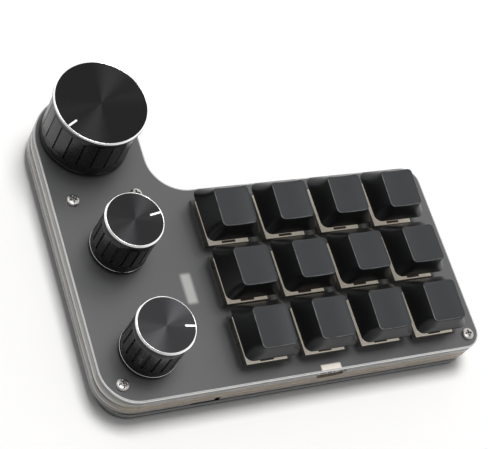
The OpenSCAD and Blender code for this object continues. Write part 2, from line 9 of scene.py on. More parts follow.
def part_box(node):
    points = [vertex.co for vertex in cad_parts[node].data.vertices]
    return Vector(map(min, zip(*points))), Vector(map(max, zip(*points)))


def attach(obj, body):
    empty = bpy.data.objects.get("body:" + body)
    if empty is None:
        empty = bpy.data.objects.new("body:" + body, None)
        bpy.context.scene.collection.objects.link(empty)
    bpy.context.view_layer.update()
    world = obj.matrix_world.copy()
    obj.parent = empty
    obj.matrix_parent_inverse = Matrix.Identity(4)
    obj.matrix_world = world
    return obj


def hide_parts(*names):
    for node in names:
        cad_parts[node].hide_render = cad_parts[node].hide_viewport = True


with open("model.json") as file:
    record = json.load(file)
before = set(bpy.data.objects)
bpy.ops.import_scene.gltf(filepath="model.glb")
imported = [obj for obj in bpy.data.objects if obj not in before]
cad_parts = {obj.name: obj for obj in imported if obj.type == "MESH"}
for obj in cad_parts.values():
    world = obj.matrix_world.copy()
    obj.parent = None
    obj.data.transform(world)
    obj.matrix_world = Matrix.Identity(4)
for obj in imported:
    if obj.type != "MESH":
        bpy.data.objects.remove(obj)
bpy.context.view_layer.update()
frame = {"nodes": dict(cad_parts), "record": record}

MM = 0.001
ROWS = ["back", "middle", "front"]
COLUMNS = 4
KNOBS = ["big", "middle", "front"]
KEYS = [(row, f"{row}_{column + 1}") for row in ROWS for column in range(COLUMNS)]
PLATE_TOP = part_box("top_plate")[1].z


def over_plate(node):
    """The place on the plate's top that lies under the middle of a node."""
    low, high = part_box(node)
    return Vector(((low.x + high.x) / 2, (low.y + high.y) / 2, PLATE_TOP))


# ---- Camera ----

# Solved from the photograph: the place in millimetres and the angles in degrees.
PHOTO_SIZE = (488, 449)
CAMERA_PLACE = (-197.48, -166.49, 366.20)
CAMERA_AZIMUTH = 49.187
CAMERA_ELEVATION = 54.117
CAMERA_ROLL = 36.650
FOCAL_PIXELS = 1454.54
SENSOR_WIDTH = 36.0


def add_camera():
    azimuth, elevation, roll = (math.radians(a) for a in
                                (CAMERA_AZIMUTH, CAMERA_ELEVATION, CAMERA_ROLL))
    looks = Vector((math.sin(azimuth) * math.cos(elevation), math.cos(azimuth) * math.cos(elevation),
                    -math.sin(elevation)))
    level = looks.cross(Vector((0, 0, 1))).normalized()
    upright = level.cross(looks)
    right = math.cos(roll) * level + math.sin(roll) * upright
    up = -math.sin(roll) * level + math.cos(roll) * upright
    turn = Matrix((right, up, -looks)).transposed().to_4x4()
    data = bpy.data.cameras.new("photo_camera")
    data.sensor_width = SENSOR_WIDTH
    data.lens = FOCAL_PIXELS / PHOTO_SIZE[0] * SENSOR_WIDTH
    data.clip_start = 0.01
    data.clip_end = 20
    camera = bpy.data.objects.new("photo_camera", data)
    camera.matrix_world = Matrix.Translation(Vector(CAMERA_PLACE) * MM) @ turn
    bpy.context.scene.collection.objects.link(camera)
    bpy.context.scene.camera = camera


# ---- Materials ----

def add_node(tree, kind, inputs=None, **settings):
    """A new node with its settings, and its inputs set to values or joined to other nodes."""
    node = tree.nodes.new(kind)
    for key, value in settings.items():
        setattr(node, key, value)
    for key, value in (inputs or {}).items():
        if isinstance(value, bpy.types.NodeSocket):
            tree.links.new(value, node.inputs[key])
        else:
            node.inputs[key].default_value = value
    return node


class Shader:
    """A node material, with short ways to add nodes. Its places are those of the frame, in metres."""

    def __init__(self, name, color, roughness, metallic=0.0, **settings):
        self.material = bpy.data.materials.new(name)
        self.material.use_nodes = True
        self.tree = self.material.node_tree
        self.bsdf = self.tree.nodes["Principled BSDF"]
        self.set("Base Color", (*color, 1.0))
        self.set("Roughness", roughness)
        self.set("Metallic", metallic)
        for socket, value in settings.items():
            self.set(socket.replace("_", " "), value)
        self.place = self.add("ShaderNodeTexCoord").outputs["Object"]

    def set(self, socket, value):
        self.bsdf.inputs[socket].default_value = value

    def add(self, kind, inputs=None, **settings):
        return add_node(self.tree, kind, inputs, **settings)

    def noise(self, size_mm, detail=3.0, stretch=(1, 1, 1)):
        """Noise whose grains are about size_mm across."""
        scale = tuple(s / (size_mm * MM) for s in stretch)
        mapped = self.add("ShaderNodeMapping", {"Vector": self.place, "Scale": scale})
        return self.add("ShaderNodeTexNoise", {"Vector": mapped.outputs[0], "Scale": 1.0,
                                               "Detail": detail}).outputs[0]

    def remap(self, value, low, high, source=(0.3, 0.7)):
        """Maps the source range of a value, at first the one where noise lies, onto low to high."""
        return self.add("ShaderNodeMapRange", {"Value": value, "From Min": source[0],
                                               "From Max": source[1], "To Min": low,
                                               "To Max": high}).outputs[0]

    def math(self, operation, *values, clamp=False):
        inputs = dict(enumerate(values))
        return self.add("ShaderNodeMath", inputs, operation=operation, use_clamp=clamp).outputs[0]

    def blend(self, share, first, second):
        """A colour that goes from first to second as share goes from 0 to 1."""
        node = self.add("ShaderNodeMix", data_type="RGBA")
        for index, value in ((0, share), (6, first), (7, second)):
            if isinstance(value, bpy.types.NodeSocket):
                self.tree.links.new(value, node.inputs[index])
            else:
                node.inputs[index].default_value = value if index == 0 else (*value, 1.0)
        return node.outputs[2]

    def link(self, value, socket):
        self.tree.links.new(value, self.bsdf.inputs[socket])

    def bump(self, height, distance_mm, strength):
        node = self.add("ShaderNodeBump", {"Height": height, "Strength": strength,
                                           "Distance": distance_mm * MM})
        self.link(node.outputs[0], "Normal")

    def axes(self, source=None):
        """The x, y and z of a vector, or of the place on the surface."""
        return self.add("ShaderNodeSeparateXYZ", {"Vector": source or self.place}).outputs

    def normal(self):
        return self.add("ShaderNodeNewGeometry").outputs["Normal"]

    def upward(self, low, high):
        """1 where the surface faces up or down, and 0 where it stands upright."""
        level = self.math("ABSOLUTE", self.axes(self.normal())[2])
        return self.remap(level, 0.0, 1.0, source=(low, high))

    def bands(self, stops):
        """Colours by depth in millimetres under the plate's top, each a level band."""
        reach = stops[-1][0]
        depth = self.math("DIVIDE", self.math("SUBTRACT", PLATE_TOP, self.axes()[2]), reach * MM)
        ramp = self.add("ShaderNodeValToRGB", {"Fac": depth})
        points = ramp.color_ramp.elements
        while len(points) < len(stops):
            points.new(0.5)
        for point, (under, color) in zip(points, stops):
            point.position = under / reach
            point.color = (*color, 1.0)
        return ramp.outputs["Color"]

    def lit_and_shaded_walls(self, front, side):
        """Bands on walls that face forward or back, and others on walls that face sideways, so that one
        material holds painted lit and shaded copies of its walls.
        """
        sideways = self.math("ABSOLUTE", self.axes(self.normal())[0])
        share = self.remap(sideways, 0.0, 1.0, source=(0.3, 0.85))
        return self.blend(share, self.bands(front), self.bands(side))

    def box_mask(self, centre, half, soft_mm):
        """1 inside a box seen from above, in millimetres, and 0 outside, with a soft edge."""
        x, y, _ = self.axes()
        masks = []
        for value, middle, reach in ((x, centre[0], half[0]), (y, centre[1], half[1])):
            away = self.math("ABSOLUTE", self.math("SUBTRACT", value, middle * MM))
            masks.append(self.add("ShaderNodeMapRange", {
                "Value": away, "From Min": (reach - soft_mm) * MM, "From Max": (reach + soft_mm) * MM,
                "To Min": 1.0, "To Max": 0.0}, interpolation_type="SMOOTHERSTEP").outputs[0])
        return self.math("MULTIPLY", *masks)


LEVEL_STREAKS = (0.05, 0.05, 1)  # makes noise into level lines
RING_PITCH = 0.12  # millimetres between the rings of a spun face


def keycap_plastic():
    """Black plastic, satin on top, glossier on the walls. Its colour holds painted light: a painted
    highlight along the top's left and front edges, and walls painted much darker than the top as painted
    shade.
    """
    s = Shader("keycap_plastic", (0.012, 0.012, 0.013), 0.4, Specular_IOR_Level=0.32)
    top = s.upward(0.93, 0.975)
    edge = s.math("SUBTRACT", s.upward(0.70, 0.78), top, clamp=True)
    nx, ny, _ = s.axes(s.normal())
    left_or_front = s.math("MULTIPLY_ADD", ny, -0.9, s.math("MULTIPLY", nx, -1.0))
    # Painted highlight: a light line, mottled by noise, along the rounded edges of the top that face
    # left and front.
    edge_highlight_mask = s.math("MULTIPLY", edge, s.remap(left_or_front, 0.0, 1.0, source=(0.1, 0.5)))
    painted_top_edge_highlight = s.math("MULTIPLY", s.remap(s.noise(2.5, 3), 0.3, 1.0), edge_highlight_mask)
    s.link(s.math("ADD", s.remap(s.noise(14, 2), 0.33, 0.39), s.math("MULTIPLY", top, 0.06)),
           "Roughness")
    s.set("Specular Tint", (0.94, 0.965, 1.0, 1.0))
    face = s.blend(s.noise(9, 2), (0.018, 0.0185, 0.020), (0.022, 0.023, 0.025))
    # Painted shade: the walls are painted much darker than the top.
    wall = s.blend(top, (0.005, 0.005, 0.0053), face)
    s.link(s.blend(painted_top_edge_highlight, wall, (0.17, 0.175, 0.18)), "Base Color")
    s.bump(s.noise(0.22, 2), 0.008, 0.3)
    return s.material


def stem_plastic():
    s = Shader("stem_plastic", (0.18, 0.07, 0.02), 0.35)
    s.link(s.blend(s.noise(3), (0.16, 0.06, 0.018), (0.21, 0.085, 0.026)), "Base Color")
    return s.material


# Colours of the upright walls, each at its depth in millimetres under the plate's top. Much of them is
# painted light, as said at each table.
# Painted highlight: the near-white top band stands for the light on the plate's polished edge, wider on
# the front walls than on the sides.
EDGE_FRONT = [(0.0, (0.92, 0.92, 0.91)), (0.75, (0.88, 0.875, 0.86)), (1.1, (0.16, 0.16, 0.157)),
              (1.6, (0.12, 0.12, 0.117))]
EDGE_SIDE = [(0.0, (0.92, 0.91, 0.89)), (0.2, (0.86, 0.85, 0.83)), (0.5, (0.13, 0.13, 0.127)),
             (1.1, (0.12, 0.12, 0.115)), (1.6, (0.17, 0.168, 0.16))]
# Painted light: the front table is the shaded copy of the frames' walls and the side table the lit copy,
# whose bright bands are painted reflections; the black bands are the joints.
FRONT_BANDS = [(0.0, (0.10, 0.10, 0.10)), (2.0, (0.17, 0.17, 0.168)), (2.5, (0.24, 0.238, 0.23)),
               (3.4, (0.235, 0.225, 0.205)), (4.1, (0.255, 0.215, 0.155)), (6.4, (0.245, 0.20, 0.148)),
               (7.6, (0.22, 0.185, 0.145)), (8.1, (0.27, 0.24, 0.205)), (8.4, (0.22, 0.195, 0.17)),
               (8.75, (0.008, 0.008, 0.008)), (9.5, (0.004, 0.004, 0.004))]
SIDE_BANDS = [(0.0, (0.17, 0.17, 0.168)), (1.3, (0.16, 0.158, 0.15)), (1.8, (0.27, 0.265, 0.25)),
              (2.8, (0.26, 0.255, 0.24)), (3.2, (0.36, 0.355, 0.34)), (3.45, (0.58, 0.57, 0.55)),
              (4.1, (0.58, 0.57, 0.55)), (4.4, (0.15, 0.148, 0.14)), (4.8, (0.08, 0.08, 0.075)),
              (5.15, (0.11, 0.11, 0.105)), (5.4, (0.19, 0.186, 0.178)), (6.2, (0.20, 0.196, 0.188)),
              (6.5, (0.28, 0.275, 0.26)), (6.8, (0.42, 0.415, 0.40)), (7.2, (0.40, 0.395, 0.38)),
              (7.55, (0.20, 0.196, 0.188)), (8.0, (0.15, 0.147, 0.14)), (8.4, (0.23, 0.226, 0.216)),
              (9.2, (0.25, 0.245, 0.235)), (9.35, (0.05, 0.05, 0.048)), (9.5, (0.02, 0.02, 0.02))]
# Painted shadow: the plate darkens to black towards its foot, for the contact shadow under it.
BOTTOM_BANDS = [(0.0, (0.01, 0.01, 0.01)), (9.8, (0.004, 0.004, 0.004)), (10.1, (0.15, 0.152, 0.156)),
                (11.3, (0.15, 0.151, 0.153)), (11.7, (0.08, 0.081, 0.082)), (12.0, (0.02, 0.02, 0.02)),
                (12.5, (0.008, 0.008, 0.008))]

# Where the plate shows what lies under it: the shift in millimetres for each millimetre of depth, the
# lit part of the socket's shell from front to back, and half the width of that part in millimetres.
SEEN_SHIFT = (-0.547, -0.473)
USB_GLINT = (0.05, 0.4)
USB_GLINT_HALF = 3.25


def seen_through(s, node, soft_mm, span=(0, 1), half_width=None):
    """A mask on the plate's top for a node under it, moved as the refracting plate shows it."""
    low, high = (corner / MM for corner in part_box(node))
    depth = PLATE_TOP / MM - high.z
    front, back = (low.y + (high.y - low.y) * share for share in span)
    centre = ((low.x + high.x) / 2 + SEEN_SHIFT[0] * depth,
              (front + back) / 2 + SEEN_SHIFT[1] * depth)
    half = (half_width or (high.x - low.x) / 2, (back - front) / 2)
    return s.box_mask(centre, half, soft_mm)


def smoked_acrylic():
    """Satin smoky acrylic with a polished edge, whose walls carry a painted highlight band, and which
    shows the connector under it and a painted glint on the socket's shell under it.
    """
    s = Shader("smoked_acrylic", (0.03, 0.031, 0.033), 0.34, Specular_IOR_Level=0.9)
    face = s.blend(s.noise(45, 2), (0.045, 0.0455, 0.047), (0.055, 0.0555, 0.057))
    connector = seen_through(s, "board_connector", 0.9)
    face = s.blend(s.math("MULTIPLY", connector, 0.42), face, (0.80, 0.81, 0.78))
    # Painted highlight: a glint on the socket's shell, seen through the plate.
    usb = seen_through(s, "usb_shell", 0.35, USB_GLINT, USB_GLINT_HALF)
    face = s.blend(s.math("MULTIPLY", usb, 0.92), face, (0.86, 0.79, 0.70))
    edge = s.math("SUBTRACT", 1.0, s.upward(0.45, 0.97))
    # The walls take the edge tables, with their painted highlight.
    s.link(s.blend(edge, face, s.lit_and_shaded_walls(EDGE_FRONT, EDGE_SIDE)), "Base Color")
    s.link(s.math("SUBTRACT", s.remap(s.noise(40, 2), 0.33, 0.37), s.math("MULTIPLY", edge, 0.15)),
           "Roughness")
    return s.material


def plate_edge_highlight():
    """A painted highlight: the bright line that light on the plate's polished edge draws round its face.
    """
    s = Shader("plate_edge_highlight", (0.6, 0.6, 0.59), 0.25)
    s.link(s.blend(s.noise(6, 2), (0.48, 0.48, 0.47), (0.68, 0.68, 0.67)), "Base Color")
    s.link(s.remap(s.noise(3, 2), 0.2, 0.3), "Roughness")
    return s.material


def layered_acrylic():
    """The frames' polished walls, with fine level bands painted along them: painted reflections and
    shade, lighter on the sideways walls than on the front ones, and black joints.
    """
    s = Shader("ring_acrylic", (0.2, 0.2, 0.2), 0.3)
    layers = s.lit_and_shaded_walls(FRONT_BANDS, SIDE_BANDS)
    hue = s.blend(s.noise(11, 2, stretch=(1, 1, 3)), (0.86, 0.86, 0.86), (1.1, 1.09, 1.07))
    tinted = s.add("ShaderNodeMix", data_type="RGBA", blend_type="MULTIPLY")
    tinted.inputs[0].default_value = 1.0
    s.tree.links.new(layers, tinted.inputs[6])
    s.tree.links.new(hue, tinted.inputs[7])
    s.link(tinted.outputs[2], "Base Color")
    s.link(s.remap(s.noise(0.6, 2, stretch=LEVEL_STREAKS), 0.22, 0.32), "Roughness")
    return s.material


def base_acrylic():
    """The dark bottom plate, with a black joint over it, painted shadow darkening its foot, and fine
    level marks.
    """
    s = Shader("bottom_acrylic", (0.15, 0.152, 0.156), 0.3, Specular_IOR_Level=0.4)
    s.link(s.bands(BOTTOM_BANDS), "Base Color")
    s.link(s.remap(s.noise(0.5, 2, stretch=LEVEL_STREAKS), 0.24, 0.34), "Roughness")
    return s.material


def rubber():
    s = Shader("black_rubber", (0.02, 0.02, 0.02), 0.75)
    s.link(s.remap(s.noise(1.2), 0.66, 0.84), "Roughness")
    s.bump(s.noise(0.3, 3), 0.02, 0.6)
    return s.material


def bright_metal(name, color, roughness):
    s = Shader(name, color, roughness, metallic=1.0)
    s.link(s.remap(s.noise(0.9, 3), roughness - 0.06, roughness + 0.1), "Roughness")
    s.link(s.blend(s.noise(2.5), tuple(c * 0.9 for c in color), color), "Base Color")
    s.bump(s.noise(0.25, 3), 0.003, 0.4)
    return s.material


def milky_plastic():
    """The ivory housings. A faint glow stands for the light that the milky plastic passes on."""
    s = Shader("ivory_plastic", (0.86, 0.8, 0.7), 0.35, Subsurface_Weight=0.15)
    s.set("Subsurface Radius", (0.001, 0.0008, 0.0005))
    s.set("Subsurface Scale", 0.5)
    s.link(s.blend(s.noise(4), (0.84, 0.77, 0.66), (0.9, 0.85, 0.76)), "Base Color")
    s.set("Emission Color", (0.9, 0.83, 0.72, 1.0))
    s.set("Emission Strength", 0.2)
    s.link(s.remap(s.noise(1.5), 0.3, 0.42), "Roughness")
    return s.material


def smoky_plastic():
    s = Shader("smoky_plastic", (0.04, 0.039, 0.034), 0.3, Specular_IOR_Level=0.7)
    s.link(s.blend(s.noise(6), (0.048, 0.046, 0.041), (0.066, 0.064, 0.057)), "Base Color")
    s.link(s.remap(s.noise(2), 0.25, 0.38), "Roughness")
    return s.material


def plain_plastic(name, color, roughness):
    s = Shader(name, color, roughness)
    s.link(s.blend(s.noise(2.5), tuple(c * 0.85 for c in color), color), "Base Color")
    s.link(s.remap(s.noise(0.8), roughness - 0.06, roughness + 0.08), "Roughness")
    s.bump(s.noise(0.2, 2), 0.01, 0.3)
    return s.material


def board_mask():
    """The board's solder mask, with faint tracks under it."""
    s = Shader("board_mask", (0.012, 0.02, 0.014), 0.4)
    tracks = s.add("ShaderNodeTexBrick", {"Vector": s.place, "Scale": 180.0, "Mortar Size": 0.06,
                                          "Brick Width": 1.7, "Row Height": 0.35}).outputs["Fac"]
    s.link(s.blend(tracks, (0.010, 0.016, 0.012), (0.018, 0.03, 0.02)), "Base Color")
    s.bump(tracks, 0.02, 0.3)
    return s.material


def anodised():
    """The knobs' black skirts, with faint turning marks round them."""
    s = Shader("knob_anodised", (0.005, 0.005, 0.0055), 0.27, metallic=0.1,
               Specular_IOR_Level=0.38)
    turning = s.noise(0.35, 2, stretch=LEVEL_STREAKS)
    s.link(s.remap(turning, 0.22, 0.32), "Roughness")
    s.link(s.blend(s.noise(7), (0.004, 0.004, 0.0045), (0.007, 0.007, 0.0075)), "Base Color")
    s.bump(turning, 0.002, 0.2)
    return s.material


def spun_face(name, centre, shade):
    """A black spun face: fine rings round the knob's axis, which catch the light in wedges. Its shade is
    painted lighter or darker for each knob, as painted light.
    """
    s = Shader(name, (shade, shade, shade), 0.34, metallic=0.9, Anisotropic=0.97,
               Anisotropic_Rotation=0.25)
    tangent = s.add("ShaderNodeTangent", direction_type="RADIAL", axis="Z").outputs[0]
    s.link(tangent, "Tangent")
    x, y, _ = s.axes(s.add("ShaderNodeVectorMath", {0: s.place, 1: centre},
                           operation="SUBTRACT").outputs[0])
    radius = s.math("SQRT", s.math("ADD", s.math("MULTIPLY", x, x), s.math("MULTIPLY", y, y)))
    rings = s.add("ShaderNodeTexNoise", {"W": s.math("MULTIPLY", radius, 1 / (RING_PITCH * MM)),
                                         "Scale": 1.0, "Detail": 2.0},
                  noise_dimensions="1D").outputs[0]
    dark, light = 0.75 * shade, 1.25 * shade
    s.link(s.blend(rings, (dark, dark, dark * 1.06), (light, light, light * 1.06)), "Base Color")
    s.link(s.remap(rings, 0.36, 0.44), "Roughness")
    s.bump(rings, 0.003, 0.4)
    return s.material


def floor_material():
    s = Shader("pale_floor", (0.93, 0.93, 0.93), 0.9, Specular_IOR_Level=0.1)
    s.link(s.blend(s.noise(120, 2), (0.935, 0.93, 0.925), (0.945, 0.94, 0.935)), "Base Color")
    return s.material


# ---- Mesh helpers ----

FLAT_AREA = 1.5  # square millimetres
STRAIGHT = 0.9999
BEVELLED_ANGLE = 30  # degrees, as for the next
COPLANAR_ANGLE = 0.3
SAME_PLACE = 1e-6  # metres
SAME_LEVEL = 1e-5  # metres
ROUND_STEPS = 192


def finish_mesh(name, bm, material, sharp_angle=32):
    """An object from a bmesh, shaded smooth apart from sharp edges and large level or upright faces."""
    bmesh.ops.recalc_face_normals(bm, faces=bm.faces)
    mesh = bpy.data.meshes.new(name)
    bm.to_mesh(mesh)
    bm.free()
    mesh.shade_smooth()
    mesh.set_sharp_from_angle(angle=math.radians(sharp_angle))
    for face in mesh.polygons:
        if face.area > FLAT_AREA * MM * MM and max(abs(v) for v in face.normal) > STRAIGHT:
            face.use_smooth = False
    mesh.materials.append(material)
    piece = bpy.data.objects.new(name, mesh)
    bpy.context.scene.collection.objects.link(piece)
    return piece


def stands_for(piece, node):
    """The piece replaces a CAD node and rides on its body."""
    ride_with(piece, node)
    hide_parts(node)


def ride_with(piece, node):
    """The piece rides on the body of a CAD node."""
    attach(piece, body_with(node))


def body_with(node):
    return next(body for body, nodes in frame["record"]["behaviour"]["bodies"].items()
                if node in nodes)


def loft(bm, rings, closed_start=True, closed_end=True):
    """Joins rings of points, all of the same length, and closes the ends with fans."""
    made = [[bm.verts.new(p) for p in ring] for ring in rings]
    count = len(made[0])
    for lower, upper in zip(made, made[1:]):
        for i in range(count):
            j = (i + 1) % count
            bm.faces.new((lower[i], lower[j], upper[j], upper[i]))
    for ring, wanted in ((made[0], closed_start), (made[-1], closed_end)):
        if wanted:
            middle = bm.verts.new(sum((v.co for v in ring), Vector()) / count)
            for i in range(count):
                j = (i + 1) % count
                bm.faces.new((ring[i], ring[j], middle))


def lathe(bm, profile, centre, segments, **ends):
    """Turns (radius, height) points in millimetres round an upright axis."""
    rings = []
    for radius, height in profile:
        rings.append([centre + Vector((radius * math.cos(a), radius * math.sin(a), height)) * MM
                      for a in (2 * math.pi * i / segments for i in range(segments))])
    loft(bm, rings, **ends)


def turned(name, profile, centre, material, **ends):
    bm = bmesh.new()
    lathe(bm, profile, centre, ROUND_STEPS, **ends)
    return finish_mesh(name, bm, material)


def node_bmesh(node):
    bm = bmesh.new()
    bm.from_mesh(frame["nodes"][node].data)
    bmesh.ops.remove_doubles(bm, verts=bm.verts, dist=SAME_PLACE)
    return bm


def dressed(node, bevel_mm, material, shape=None, border=None):
    """A copy of a CAD node's mesh with its sharp edges rounded, which stands for the node.

    A shape is a function that changes the mesh first. A border is a width in millimetres and a
    material for a strip along the edge of its top face.
    """
    bm = node_bmesh(node)
    if shape:
        shape(bm)
    bmesh.ops.dissolve_limit(bm, angle_limit=math.radians(COPLANAR_ANGLE), verts=bm.verts,
                             edges=bm.edges, use_dissolve_boundaries=False)
    sharp = [e for e in bm.edges if len(e.link_faces) == 2
             and e.calc_face_angle(0) > math.radians(BEVELLED_ANGLE)]
    bmesh.ops.bevel(bm, geom=sharp, offset=bevel_mm * MM, segments=2, profile=0.5,
                    affect="EDGES", clamp_overlap=True)
    if border:
        bm.normal_update()
        high = max(v.co.z for v in bm.verts)
        top = [f for f in bm.faces
               if f.normal.z > 0.999 and f.calc_center_median().z > high - SAME_LEVEL]
        strip = bmesh.ops.inset_region(bm, faces=top, thickness=border[0] * MM,
                                       use_even_offset=True, use_boundary=True)["faces"]
        for face in strip:
            face.material_index = 1
    piece = finish_mesh(node + "_finish", bm, material)
    if border:
        piece.data.materials.append(border[1])
    stands_for(piece, node)


COVER_FLARE = 0.34
FLARE_HEIGHT = 0.4
FLARE_FROM = 5.9  # millimetres from the switch's middle


def flared_feet(bm):
    """Widens the switch covers sideways at their feet, where they clip over the bases."""
    middles = [over_plate("keycap_" + key).x for _, key in KEYS[:COLUMNS]]
    foot = min(v.co.z for v in bm.verts)
    for vert in bm.verts:
        if vert.co.z < foot + FLARE_HEIGHT * MM:
            middle = min(middles, key=lambda x: abs(x - vert.co.x))
            if abs(vert.co.x - middle) > FLARE_FROM * MM:
                vert.co.x += math.copysign(COVER_FLARE * MM, vert.co.x - middle)


# ---- Keycaps ----

# Millimetres from the key's middle and over the plate's top. Each row has its own lean.
RIM_CORNER = 2.3
TOP_CORNER = 1.3
CORNER_SWELL = 1.2
TOP_HALF_W = 5.6
TOP_FRONT = {"back": 7.1, "middle": 7.5, "front": 7.75}
TOP_BACK = {"back": 5.05, "middle": 4.65, "front": 4.85}
TOP_FRONT_Z = {"back": 12.15, "middle": 12.8, "front": 12.15}
TOP_BACK_Z = {"back": 13.0, "middle": 12.95, "front": 12.85}
DISH = 0.5
RIM_ROUNDING = 0.14
EDGE_ROUNDING = 0.34
EDGE_RINGS = ((0.04, 0.24), (0.12, 0.15), (0.30, 0.03), (0.42, 0.0))  # insets and drops
EDGE_WIDTH = EDGE_RINGS[-1][0]
DISH_RINGS = (0.86, 0.7, 0.52, 0.34, 0.16, 0.04)  # shares of the top
SIDE_SWELL = 0.04
SIDE_RINGS = 10
CAP_WALL = 1.3
CEILING_Z = 10.95
CEILING_IN = (0.7, 0.9, 0.4)  # from the top's side, front and back
CORNER_STEPS = 7
SIDE_STEPS = 8


def rounded_rect(half_w, front, back, radius):
    """Points round a rectangle with round corners, the same number for every size."""
    x = half_w - radius
    corners = [(x, back - radius, 0), (-x, back - radius, 90), (-x, front + radius, 180),
               (x, front + radius, 270)]
    arcs = []
    for x, y, start in corners:
        turns = [math.radians(start + 90 * k / CORNER_STEPS) for k in range(CORNER_STEPS + 1)]
        arcs.append([(x + radius * math.cos(a), y + radius * math.sin(a)) for a in turns])
    points = []
    for arc, following in zip(arcs, arcs[1:] + arcs[:1]):
        (x0, y0), (x1, y1) = arc[-1], following[0]
        points += arc
        points += [(x0 + (x1 - x0) * k / SIDE_STEPS, y0 + (y1 - y0) * k / SIDE_STEPS)
                   for k in range(1, SIDE_STEPS)]
    return points


def keycap(row, key, material):
    """A hollow cap from its ceiling down the inside, round the rim and up to its dished top."""
    node = "keycap_" + key
    low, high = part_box(node)
    centre = over_plate(node)
    rim_half = (high.x - low.x) / 2 / MM
    rim_z = (low.z - PLATE_TOP) / MM
    front_z, back_z = TOP_FRONT_Z[row], TOP_BACK_Z[row]
    front_y, back_y = TOP_FRONT[row], TOP_BACK[row]

    def top_z(x, y):
        tilt = front_z + (back_z - front_z) * (y + front_y) / (front_y + back_y)
        return tilt - DISH * max(0.0, 1 - (x / TOP_HALF_W) ** 2)

    def ring(half_w, front, back, radius, height):
        return [centre + Vector((x, y, height(x, y))) * MM
                for x, y in rounded_rect(half_w, front, back, radius)]

    side_in, front_in, back_in = CEILING_IN
    inner = rim_half - CAP_WALL
    rim = rim_half - RIM_ROUNDING
    rings = [
        ring(TOP_HALF_W - side_in, -front_y + front_in, back_y - back_in, 0.8,
             lambda x, y: CEILING_Z),
        ring(inner - 0.02, -inner, inner, 0.9, lambda x, y: rim_z + 0.12),
        ring(inner + 0.1, -inner - 0.1, inner + 0.1, 1.0, lambda x, y: rim_z),
        ring(rim, -rim, rim, RIM_CORNER - 0.1, lambda x, y: rim_z),
    ]
    foot = rim_z + RIM_ROUNDING
    for k in range(SIDE_RINGS + 1):
        t = k / SIDE_RINGS
        swell = SIDE_SWELL * 4 * t * (1 - t)
        half_w = rim_half + (TOP_HALF_W - rim_half) * t + swell
        front = -(rim_half + (front_y - rim_half) * t + swell)
        back = rim_half + (back_y - rim_half) * t + swell
        radius = RIM_CORNER + (TOP_CORNER - RIM_CORNER) * t + CORNER_SWELL * 4 * t * (1 - t)

        def side_z(x, y, t=t, half_w=half_w):
            edge = top_z(x / half_w * TOP_HALF_W, max(-front_y, min(back_y, y)))
            return foot + (edge - EDGE_ROUNDING - foot) * t

        rings.append(ring(half_w, front, back, radius, side_z))
    for inset, drop in EDGE_RINGS:
        rings.append(ring(TOP_HALF_W - inset, -front_y + inset, back_y - inset,
                          TOP_CORNER - inset * 0.6, lambda x, y, d=drop: top_z(x, y) - d))
    middle = (back_y - front_y) / 2
    half_d = (front_y + back_y) / 2
    for share in DISH_RINGS:
        reach = (half_d - EDGE_WIDTH) * share
        rings.append(ring((TOP_HALF_W - EDGE_WIDTH) * share, middle - reach, middle + reach,
                          (TOP_CORNER - 0.25) * share, top_z))
    bm = bmesh.new()
    loft(bm, rings)
    stands_for(finish_mesh("cap_" + key, bm, material, sharp_angle=60), node)


# ---- Knobs ----

# Lengths in millimetres and turns in degrees. A pointer is its turn, its inner end and its outer end.
KNOB_GAP = 0.8
HOLLOW_RADIUS = 6.3
HOLLOW_HEIGHT = 3.0
CAP_HEIGHT = 1.6
NECK_IN = 0.45
CHAMFER = {"big": 0.36, "middle": 0.42, "front": 0.42}
SKIRT_IN = {"big": 0.7, "middle": 0.2, "front": 0.2}
LIP_OUT = 0.2
LIP_HEIGHT = 0.5
GROOVES = {"big": 20, "middle": 18, "front": 18}
GROOVE_TURN = {"big": -4, "middle": 0, "front": 0}
GROOVE_HALF = 0.26
GROOVE_DEPTH = 0.42
GROOVE_FOOT = 3.4  # over the skirt's foot
GROOVE_HEAD = 3.6  # under the knob's top
PANEL_POINTS = 16
PANEL_FLATNESS = 0.6
POINTERS = {"big": (-149.6, 10.2, 13.5), "middle": (9.4, 4.75, 8.15), "front": (-10.0, 5.15, 8.15)}
POINTER_WIDTH = 0.62
FACE_SINK = 0.03
FACE_HOLLOW = 0.2
FACE_RINGS = (0.97, 0.8, 0.6, 0.4, 0.2, 0.06)  # shares of the face
# Painted light: the faces are one finish, each knob's painted lighter or darker by how light falls on
# it.
FACE_PAINTED_LIGHTNESS = {"big": 0.014, "middle": 0.027, "front": 0.045}


def knob_size(name):
    """The knob's place on the plate in metres, and its cap's radius and height in millimetres."""
    low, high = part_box(name + "_knob_cap")
    radius = (high.x - low.x) / 2 / MM
    return over_plate(name + "_knob_cap"), radius, (high.z - PLATE_TOP) / MM


